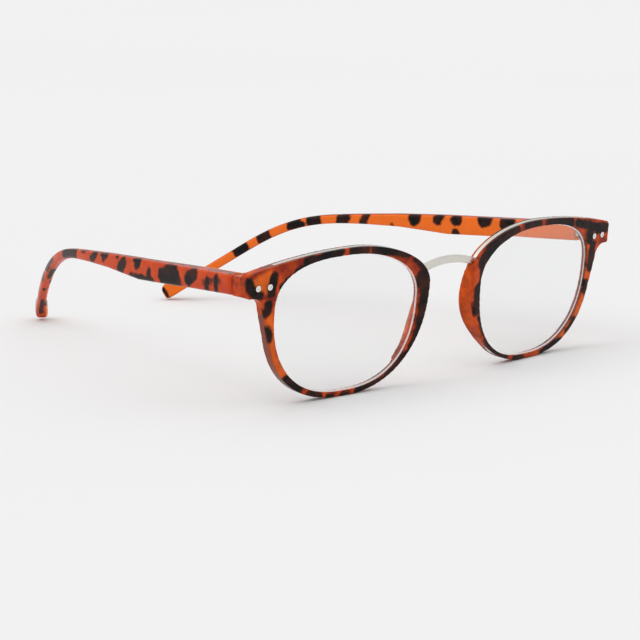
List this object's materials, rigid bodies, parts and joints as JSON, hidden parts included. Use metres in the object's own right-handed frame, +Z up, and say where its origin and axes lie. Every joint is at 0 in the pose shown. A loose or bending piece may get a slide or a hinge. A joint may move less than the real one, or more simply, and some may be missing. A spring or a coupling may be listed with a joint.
{
  "type": "reading glasses",
  "caption": "Full-rim reading glasses with clear lenses, a metal arch bridge, moulded nose pads and spring-hinged temples with drop ends.",
  "frame": {"origin": "on the ground plane under the open glasses, in the middle of the rectangle they stand on", "axes": "+Z up; -Y the way the wearer looks; +X the wearer's left"},
  "size_m": [0.1326, 0.1364, 0.0368],
  "materials": {
    "tortoiseshell_front": "polished, translucent orange-brown with near-black blotches",
    "tortoiseshell_temples": "polished, translucent orange-brown with near-black blotches",
    "clear_lens": "clear, polished",
    "bridge_metal": "satin silver",
    "polished_metal": "polished",
    "hinge_metal": "satin",
    "spring_steel": "drawn wire"
  },
  "bodies": {
    "front": {"rim_left": "tortoiseshell_front", "rim_right": "tortoiseshell_front", "lens_left": "clear_lens", "lens_right": "clear_lens", "bridge": "bridge_metal", "rivets_left": "polished_metal", "rivets_right": "polished_metal", "hinge_leaf_left": "hinge_metal", "hinge_leaf_right": "hinge_metal", "hinge_screw_left": "polished_metal", "hinge_screw_right": "polished_metal"},
    "left_slider": {"hinge_slider_left": "hinge_metal", "slider_nut_left": "hinge_metal"},
    "left_temple": {"temple_left": "tortoiseshell_temples", "spring_housing_left": "hinge_metal", "hinge_spring_left": "spring_steel"},
    "right_slider": {"hinge_slider_right": "hinge_metal", "slider_nut_right": "hinge_metal"},
    "right_temple": {"temple_right": "tortoiseshell_temples", "spring_housing_right": "hinge_metal", "hinge_spring_right": "spring_steel"}
  },
  "joints": [
    {"name": "left_fold", "type": "hinge", "parent": "front", "child": "left_slider", "pos_m": [0.06213, -0.05922, 0.03003], "axis": [0, 0, 1], "range_deg": [-4, 74]},
    {"name": "right_fold", "type": "hinge", "parent": "front", "child": "right_slider", "pos_m": [-0.06213, -0.05922, 0.03003], "axis": [0, 0, -1], "range_deg": [-4, 62]},
    {"name": "left_spring_travel", "type": "slide", "parent": "left_slider", "child": "left_temple", "axis": [-0.1736, 0.9848, 0], "range_m": [0, 0.0008], "stiffness_N_per_m": 1500, "springref_m": -0.001, "deforming": ["hinge_spring_left"]},
    {"name": "right_spring_travel", "type": "slide", "parent": "right_slider", "child": "right_temple", "axis": [0.1736, 0.9848, 0], "range_m": [0, 0.0008], "stiffness_N_per_m": 1500, "springref_m": -0.001, "deforming": ["hinge_spring_right"]}
  ]
}
